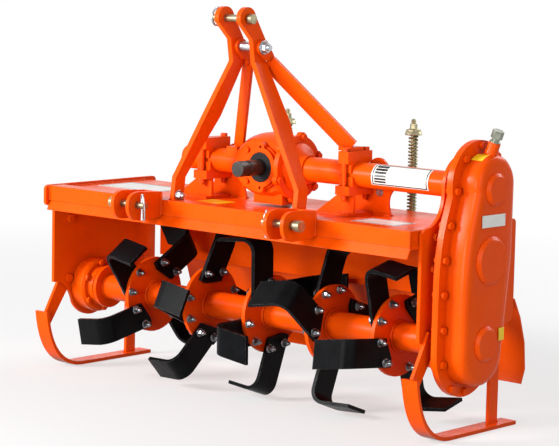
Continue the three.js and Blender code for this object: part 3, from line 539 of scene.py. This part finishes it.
def onCircle(bolts):
    # each angle's cosine and sine times the bolt circle's radius
    for degrees in bolts["angles"]:
        angle = math.radians(degrees)
        yield bolts["circle"] * math.cos(angle), bolts["circle"] * math.sin(angle)


def paintedBolts():
    made = []

    def bolt(centre, axis, size):
        # each head stops at an angle of its own
        made.append(hexHead(centre, axis, *size, centre[1] * 0.7 + centre[2] * 0.3))

    leftLow, leftHigh = edgesOf("side_plate_left")
    rightLow, rightHigh = edgesOf("side_plate_right")
    large, small, strut = (plateBolts[key] for key in ("large", "small", "strut"))
    for place in plateBolts["left"]:
        bolt((leftHigh[0], *place), (1, 0, 0), large)
        bolt((leftLow[0], *place), (-1, 0, 0), large)
    bolt((leftHigh[0], *plateBolts["leftStrut"]), (1, 0, 0), large)
    bolt((leftLow[0] - strut, *plateBolts["leftStrut"]), (-1, 0, 0), large)
    for place in plateBolts["right"]:
        bolt((rightHigh[0], *place), (1, 0, 0), small)
        bolt((rightLow[0], *place), (-1, 0, 0), small)
    bolt((rightHigh[0] + strut, *plateBolts["rightStrut"]), (1, 0, 0), large)
    for x, side in ((leftLow[0] - strut, -1), (rightHigh[0] + strut, 1)):
        for place in plateBolts["rearStruts"]:
            bolt((x, *place), (side, 0, 0), large)

    rim = edgesOf("chain_case_cover")[0][0] + caseBolts["rim"]
    for place in caseBolts["places"]:
        bolt((rim, *place), (1, 0, 0), caseBolts["size"])
        bolt((rim - caseBolts["flange"], *place), (-1, 0, 0), caseBolts["size"])

    housing = edgesOf("rotor_bearing_left")[1][0] - bearingBolts["back"]
    for across, up in onCircle(bearingBolts):
        bolt((housing, rotor["axisY"] - across, up), (1, 0, 0), bearingBolts["size"])
    coverFace = edgesOf("gearbox_side_cover")[0][0] + sideCoverBolts["out"]
    for across, up in onCircle(sideCoverBolts):
        bolt((coverFace, across, shaftZ + up), (1, 0, 0), sideCoverBolts["size"])
    for across, up in onCircle(frontCoverBolts):
        bolt((across, frontCoverBolts["y"], shaftZ + up), (0, -1, 0), frontCoverBolts["size"])

    lean = math.radians(fillerNeck["lean"])
    upright = (math.sin(lean), 0, math.cos(lean))
    made.append(turned(fillerNeck["profile"], fillerNeck["place"], upright))
    makePiece("painted_bolts", made, paint, "frame")


paintedBolts()

strapNuts = {"in": 12, "place": (-134, 254), "size": (9.5, 6)}
pedestalBolt = {"x": 258, "y": 41, "z": 287, "washer": 9, "head": (7, 5)}
spacerWasher = {"in": 18.6, "place": (-105, 590), "size": (15, 2.5)}
topClip = {
    "in": 8, "y": -147, "z": 652, "ring": 18, "wire": 2.3, "lean": (1, 0.15, 0),
    "pin": 4.0, "pinZ": (675, 632),
}
hitchClips = {
    "in": 9, "y": -237, "pin": 3.6, "pinZ": (262, 205), "wire": 1.8, "half": 8,
    # each loop's place beside its pin, its direction across and its half height
    "left": ((5, -3, 233), (1, -0.35, 0.1), 29), "right": ((0, 0, 234), (0.1, -1, 0), 22),
}


def linchRing(centre, across, tall):
    # point(a) = centre + across * half * cos(a) + up * tall * sin(a):
    # a long loop that snaps over the pin's end
    angle = np.linspace(0, 2 * np.pi, 60)[:, None]
    across = np.asarray(across, float) / np.linalg.norm(across)
    up = np.array([0, -0.12, 1]) * tall
    loop = across * hitchClips["half"] * np.cos(angle) + up * np.sin(angle)
    flat = np.cross(across, (0, 0, 1))
    return swept(np.asarray(centre, float) + loop, hitchClips["wire"], 8, flat)


def platedFittings():
    foot = edgesOf("mast_strap_left")[0][0] + strapNuts["in"]
    clear = nutAndStud((foot, *strapNuts["place"]), (1, 0, 0), *strapNuts["size"])
    clear += nutAndStud((-foot, *strapNuts["place"]), (-1, 0, 0), *strapNuts["size"])
    x, y, z = (pedestalBolt[key] for key in "xyz")
    clear.append(washer((x, y, z), (0, -1, 0), pedestalBolt["washer"]))
    clear.append(hexHead((x, y - 2, z), (0, -1, 0), *pedestalBolt["head"]))
    spacerEnd = edgesOf("mast_spacer_bolt")[1][0] - spacerWasher["in"]
    clear.append(washer((spacerEnd, *spacerWasher["place"]), (1, 0, 0), *spacerWasher["size"]))
    makePiece("plated_nuts", clear, clearZinc, "frame")

    clips = []
    x, y, z = edgesOf("top_link_pin")[0][0] + topClip["in"], topClip["y"], topClip["z"]
    ring = ringPath((x, y, z), topClip["lean"], topClip["ring"], 70, 430)
    clips.append(swept(ring, topClip["wire"], 8, topClip["lean"]))
    clips.append(swept([(x, y, end) for end in topClip["pinZ"]], topClip["pin"], 12, (1, 0, 0)))
    ends = {
        "left": edgesOf("hitch_pin_left")[1][0] - hitchClips["in"],
        "right": edgesOf("hitch_pin_right")[0][0] + hitchClips["in"],
    }
    y = hitchClips["y"]
    for side, x in ends.items():
        pin = [(x, y, end) for end in hitchClips["pinZ"]]
        clips.append(swept(pin, hitchClips["pin"], 12, (1, 0, 0)))
        (aside, ahead, z), across, tall = hitchClips[side]
        clips.append(linchRing((x + aside, y + ahead, z), across, tall))
    makePiece("linch_pins", clips, clearZinc, "frame", 60)


platedFittings()

springs = {"wire": 2.3, "radius": 9.0, "turns": 31, "low": 174.0, "high": 402.6, "rodX": 188}
springCup = {
    "profile": [
        (0, 399), (16, 399.5), (19, 396), (19.6, 398),
        (17.5, 404), (12, 409), (9.4, 410.5), (0, 410.5),
    ],
    "stubZ": 420, "stub": (5.6, 12),
}


def sprungRods():
    # coil: point(t) = middle + radius * (cos, sin)(2 pi turns t), rising evenly,
    # with a closed turn at each end
    rodY = (edgesOf("spring_left")[0][1] + edgesOf("spring_left")[1][1]) / 2
    radius, low, high = (springs[key] for key in ("radius", "low", "high"))
    t = np.linspace(0, 1, springs["turns"] * 18)
    rise = np.interp(t, [0, 0.04, 0.96, 1], [0.008, 0.022, 0.978, 0.992])
    spin = 2 * np.pi * springs["turns"] * t
    for side, sign in (("left", -1), ("right", 1)):
        x = sign * springs["rodX"]
        path = np.stack([
            x + radius * np.cos(spin), rodY + radius * np.sin(spin), low + (high - low) * rise,
        ], 1)
        wound = [swept(path, springs["wire"], 8)]
        coil = makePiece(f"coil_spring_{side}", wound, springZinc, sharp=60)
        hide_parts(f"spring_{side}")
        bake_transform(coil)
        dome = turned(springCup["profile"], (x, rodY, 0), (0, 0, 1), 32)
        stub = threadedEnd((x, rodY, springCup["stubZ"]), (0, 0, 1), *springCup["stub"])
        rod = f"spring_rod_{side}"
        makePiece(f"spring_cup_{side}", [dome, stub], yellowZinc, rod)


sprungRods()
print("stage: fasteners and springs made")

# each bead's places in millimetres, and its radius
deckZ, beamTopZ = 238, 244
lugWelds = {"x": 227, "inner": 19, "outer": 28, "y": -164, "z": (210, 262), "bead": 2.6}
strapWelds = {"x": 181, "half": 7, "y": (-150, -120), "bead": 2.6}
pedestalWelds = {
    # X from the foot's outer edge
    "across": [(0, 70, -25.5), (0, 70, -17.5), (108, 157, 40.5), (45, 157, 47.5)],
    "along": (70, 108), "y": (-15, 38), "bead": 3,
}
plateWelds = {"x": (-569, 504), "y": (-120, 150), "frontY": -163, "z": (210, 243), "bead": 2.8}
tubeWeld = {"x": 504.5, "radius": 28.5, "bead": 3.0}
skidWelds = {"y": (100, 130), "top": -183, "low": -184.5, "in": 4, "out": 9, "bead": 2.4}


def frameWelds():
    beads = []
    for x in (-lugWelds["x"], lugWelds["x"]):
        inner, outer = lugWelds["inner"], lugWelds["outer"]
        for reach in (-inner, outer, inner, -outer):
            ends = [(x + reach, lugWelds["y"], z) for z in lugWelds["z"]]
            beads.append(weldBead(ends, lugWelds["bead"], (0, 1, 0)))
    for x in (-strapWelds["x"], strapWelds["x"]):
        for edge in (x - strapWelds["half"], x + strapWelds["half"]):
            ends = [(edge, y, beamTopZ) for y in strapWelds["y"]]
            beads.append(weldBead(ends, strapWelds["bead"]))
    for side in ("left", "right"):
        foot = edgesOf(f"tube_pedestal_{side}")[0][0]
        for start, end, y in pedestalWelds["across"]:
            ends = [(foot + x, y, deckZ) for x in (start, end)]
            beads.append(weldBead(ends, pedestalWelds["bead"]))
        for x in pedestalWelds["along"]:
            ends = [(foot + x, y, deckZ) for y in pedestalWelds["y"]]
            beads.append(weldBead(ends, pedestalWelds["bead"]))
    for x in plateWelds["x"]:
        ends = [(x, y, deckZ) for y in plateWelds["y"]]
        beads.append(weldBead(ends, plateWelds["bead"]))
    for x in plateWelds["x"]:
        ends = [(x, plateWelds["frontY"], z) for z in plateWelds["z"]]
        beads.append(weldBead(ends, plateWelds["bead"], (0, 1, 0)))
    beads.append(weldRing((tubeWeld["x"], 0, shaftZ), tubeWeld["radius"], tubeWeld["bead"]))
    top, low = skidWelds["top"], skidWelds["low"]
    plates = ((edgesOf("side_plate_left")[0][0], -1), (edgesOf("side_plate_right")[1][0], 1))
    for plate, side in plates:
        near, far = plate + side * skidWelds["in"], plate + side * skidWelds["out"]
        for y in skidWelds["y"]:
            corner = [(near, y, top), (near, y, low), (far, y, low)]
            beads.append(weldBead(corner, skidWelds["bead"]))
    makePiece("frame_welds", beads, paint, "frame", 60)


frameWelds()


def roundPatch(x, angles, radius, columns=14, centre=(0, shaftZ), thick=0.35):
    # point(x, angle) = centre + radius * (-cos, sin)(angle) round an axis along X,
    # as a thin closed shell; angles are in degrees from the front, upwards
    angle = np.radians(np.linspace(*angles, columns))

    def skin(reach):
        y, z = centre[0] - reach * np.cos(angle), centre[1] + reach * np.sin(angle)
        return np.stack([np.stack([np.full(columns, end), y, z], 1) for end in x])

    outer, inner = skin(radius), skin(radius - thick)
    shell = np.stack([inner[0], outer[0], outer[1], inner[1], inner[0]])
    ends = [
        np.stack([np.stack([inner[end][i], outer[end][i]]) for end in (0, 1)]) for i in (0, -1)
    ]
    return [(shell, False), (ends[0], False), (ends[1], False)]


def flatPatch(corner, across, along, lift=0.35):
    # a thin slab: corner + s * across + t * along, raised by lift along their cross product
    corner, across, along = (np.asarray(v, float) for v in (corner, across, along))
    up = np.cross(across, along)
    up *= lift / np.linalg.norm(up)
    base = np.array([corner, corner + across, corner + across + along, corner + along])
    middle = base.mean(0)
    rows = [np.repeat(middle[None], 4, 0), base, base + up, np.repeat((middle + up)[None], 4, 0)]
    return [(np.stack(rows), True)]


def outlineStrips(corner, across, along, width, lift):
    # four strips just inside a patch's edge
    corner, across, along = (np.asarray(v, float) for v in (corner, across, along))
    a, b = across / np.linalg.norm(across), along / np.linalg.norm(along)
    inset = corner + (a + b) * width * 1.6
    wide, tall = across - a * width * 3.2, along - b * width * 3.2
    return [
        *flatPatch(inset, wide, b * width, lift),
        *flatPatch(inset + tall - b * width, wide, b * width, lift),
        *flatPatch(inset, a * width, tall, lift),
        *flatPatch(inset + wide - a * width, a * width, tall, lift),
    ]


beamEnd = {"inset": 1.0, "y": -158.5, "z": 213.5, "deep": 31, "tall": 26, "thick": 3.0}


def beamCaps():
    # a plate let into each open end of the box section
    low, high = edgesOf("front_beam")
    deep, tall = (0, beamEnd["deep"], 0), (0, 0, beamEnd["tall"])
    caps = []
    for x, inwards in ((low[0], 1), (high[0], -1)):
        corner = (x + inwards * beamEnd["inset"], beamEnd["y"], beamEnd["z"])
        caps += flatPatch(corner, deep, tall, inwards * beamEnd["thick"])
    makePiece("beam_caps", caps, paint, "frame")


beamCaps()

# x is along the tube in millimetres, angles are round it in degrees
tubeLabel = {
    "radius": 27.45, "print": 0.2, "x": (288, 440), "angles": (-34, 76),
    "inner": (291, 437), "innerAngles": (-31, 73), "endLine": 2.6, "edgeLine": 5,
    "barX": (297, 328),
    "bars": [(50, 64), (34, 46), (19, 30), (5, 15), (-8, 1), (-20, -12)],
}
# corner X and Y, then width and depth
deckLabels = {
    "z": 238.1, "thick": 0.4, "line": 2.6, "lineThick": 0.6,
    "white": [(284, -90, 120, 76), (-540, -35, 190, 110)], "yellow": (-168, -90, 72, 60),
}
# corner Y and Z, then width and height; the shoulder's sticker is bent round the case's top
caseLabels = {"in": 6, "thick": 0.4, "white": (-54, 251, 77, 25), "yellow": (13, 15, 18, 26)}
shoulderLabel = {
    "x": (556, 585), "angles": (55, 80), "radius": 63.4, "centre": (-1, 333), "thick": 0.9,
}


def labels():
    white, black, yellow = [], [], []
    shell = tubeLabel["radius"]
    printed = shell + tubeLabel["print"]
    x0, x1 = tubeLabel["inner"]
    a0, a1 = tubeLabel["innerAngles"]
    endLine, edgeLine = tubeLabel["endLine"], tubeLabel["edgeLine"]
    white += roundPatch(tubeLabel["x"], tubeLabel["angles"], shell)
    for x in ((x0, x0 + endLine), (x1 - endLine, x1)):
        black += roundPatch(x, (a0, a1), printed)
    for angles in ((a0, a0 + edgeLine), (a1 - edgeLine, a1)):
        black += roundPatch((x0, x1), angles, printed, 4)
    for angles in tubeLabel["bars"]:
        black += roundPatch(tubeLabel["barX"], angles, printed, 5)

    deck, thick = deckLabels["z"], deckLabels["thick"]
    for x, y, wide, deep in deckLabels["white"]:
        edges = (x, y, deck), (wide, 0, 0), (0, deep, 0)
        white += flatPatch(*edges, thick)
        black += outlineStrips(*edges, deckLabels["line"], deckLabels["lineThick"])
    x, y, wide, deep = deckLabels["yellow"]
    yellow += flatPatch((x, y, deck), (wide, 0, 0), (0, deep, 0), thick)

    face = edgesOf("chain_case_cover")[1][0] - caseLabels["in"]
    for stickers, key in ((white, "white"), (yellow, "yellow")):
        y, z, wide, tall = caseLabels[key]
        stickers += flatPatch((face, y, z), (0, wide, 0), (0, 0, tall), caseLabels["thick"])
    yellow += roundPatch(
        shoulderLabel["x"], shoulderLabel["angles"], shoulderLabel["radius"], 10,
        shoulderLabel["centre"], shoulderLabel["thick"])
    makePiece("white_labels", white, whiteVinyl, "frame")
    makePiece("label_print", black, blackVinyl, "frame")
    makePiece("yellow_labels", yellow, yellowVinyl, "frame")


labels()
print("stage: welds and labels made")

# metres, and the share of white light that the room itself gives
stageSizes = {"floor": 40.0, "drop": 0.0006, "fadeFrom": 0.9, "fadeTo": 3.2, "skyLevel": 0.16}


def largerOf(tree, first, second):
    return addNode(tree, "ShaderNodeMath", {0: first, 1: second}, operation="MAXIMUM").outputs[0]


# White studio paper: it keeps the shadow near the machine and fades to pure white away from it
def makeFloor():
    mesh = bpy.data.meshes.new("studio_floor")
    half, z = stageSizes["floor"] / 2, -stageSizes["drop"]
    corners = [(-half, -half, z), (half, -half, z), (half, half, z), (-half, half, z)]
    mesh.from_pydata(corners, [], [(0, 1, 2, 3)])
    floor = bpy.data.objects.new("studio_floor", mesh)
    bpy.context.scene.collection.objects.link(floor)
    material, tree, place = newMaterial("studioPaper")
    away = addNode(tree, "ShaderNodeVectorMath", {0: place}, operation="LENGTH").outputs["Value"]
    faded = between(tree, away, 0.55, 1.0, stageSizes["fadeFrom"], stageSizes["fadeTo"])
    path = addNode(tree, "ShaderNodeLightPath").outputs
    seen = largerOf(tree, path["Is Camera Ray"], path["Is Glossy Ray"])
    share = addNode(tree, "ShaderNodeMath", {0: faded, 1: seen}, operation="MULTIPLY").outputs[0]
    bounce = mixed(tree, seen, linear("#8C8C8C"), linear("#F2F2F2"))
    lit = addNode(tree, "ShaderNodeBsdfDiffuse", {"Color": bounce}).outputs[0]
    white = addNode(tree, "ShaderNodeEmission", {"Color": (1, 1, 1, 1), "Strength": 1.0})
    closeMaterial(tree, addNode(tree, "ShaderNodeMixShader", {
        0: share, 1: lit, 2: white.outputs[0],
    }))
    mesh.materials.append(material)


# The room is white where it is seen or mirrored, and lights the machine only a little
def makeWorld():
    world = bpy.data.worlds.new("studio")
    bpy.context.scene.world = world
    world.use_nodes = True
    tree = world.node_tree
    tree.nodes.clear()
    path = addNode(tree, "ShaderNodeLightPath").outputs
    seen = largerOf(tree, path["Is Camera Ray"], path["Is Glossy Ray"])
    seen = largerOf(tree, seen, path["Is Transmission Ray"])
    level = between(tree, seen, stageSizes["skyLevel"], 1.0, 0.0, 1.0)
    sky = addNode(tree, "ShaderNodeBackground", {"Color": (1, 1, 1, 1), "Strength": level})
    addNode(tree, "ShaderNodeOutputWorld", {"Surface": sky.outputs[0]})


# places and aims in metres, each lamp a soft square
lamps = {
    "key": {"place": (-2.0, -3.6, 1.8), "aim": (0, 0, 0.35), "size": 1.2, "watts": 215},
    "low": {"place": (0.7, -3.9, 0.75), "aim": (0, 0, 0.25), "size": 1.6, "watts": 85},
    "fill": {"place": (3.6, -1.3, 1.2), "aim": (0.2, 0, 0.35), "size": 2.0, "watts": 42},
    "back": {"place": (0.6, 3.0, 2.6), "aim": (0, 0, 0.4), "size": 2.0, "watts": 75},
}


def makeLamps():
    for name, lamp in lamps.items():
        light = bpy.data.lights.new(name, "AREA")
        light.shape, light.size, light.energy = "SQUARE", lamp["size"], lamp["watts"]
        holder = bpy.data.objects.new(name, light)
        bpy.context.scene.collection.objects.link(holder)
        holder.location = lamp["place"]
        holder.rotation_mode = "QUATERNION"
        beam = Vector(lamp["aim"]) - Vector(lamp["place"])
        holder.rotation_quaternion = beam.to_track_quat("-Z", "Y")


# place in millimetres from the drive line; angles in degrees, azimuth from the front
view = {
    "place": (3156.5, -3505.7, 783.2), "azimuth": 41.94, "elevation": 6.77, "roll": 1.20,
    "lens": 138.3, "sensor": 36.0, "shiftY": -0.0197,
}


def makeCamera():
    a, e, r = (math.radians(view[k]) for k in ("azimuth", "elevation", "roll"))
    back = Vector((math.sin(a) * math.cos(e), -math.cos(a) * math.cos(e), math.sin(e)))
    level = Vector((math.cos(a), math.sin(a), 0))
    upright = level.cross(-back)
    across = level * math.cos(r) + upright * math.sin(r)
    up = upright * math.cos(r) - level * math.sin(r)
    data = bpy.data.cameras.new("view")
    data.lens, data.sensor_width = view["lens"], view["sensor"]
    data.shift_y = view["shiftY"]
    data.clip_end = 100
    camera = bpy.data.objects.new("view", data)
    bpy.context.scene.collection.objects.link(camera)
    turn = Matrix((across, up, back)).transposed().to_4x4()
    camera.matrix_world = Matrix.Translation(Vector(at(view["place"]))) @ turn
    bpy.context.scene.camera = camera


makeFloor()
makeWorld()
makeLamps()
makeCamera()
bpy.context.scene.view_settings.view_transform = "Standard"
print("stage: floor, light and camera set")
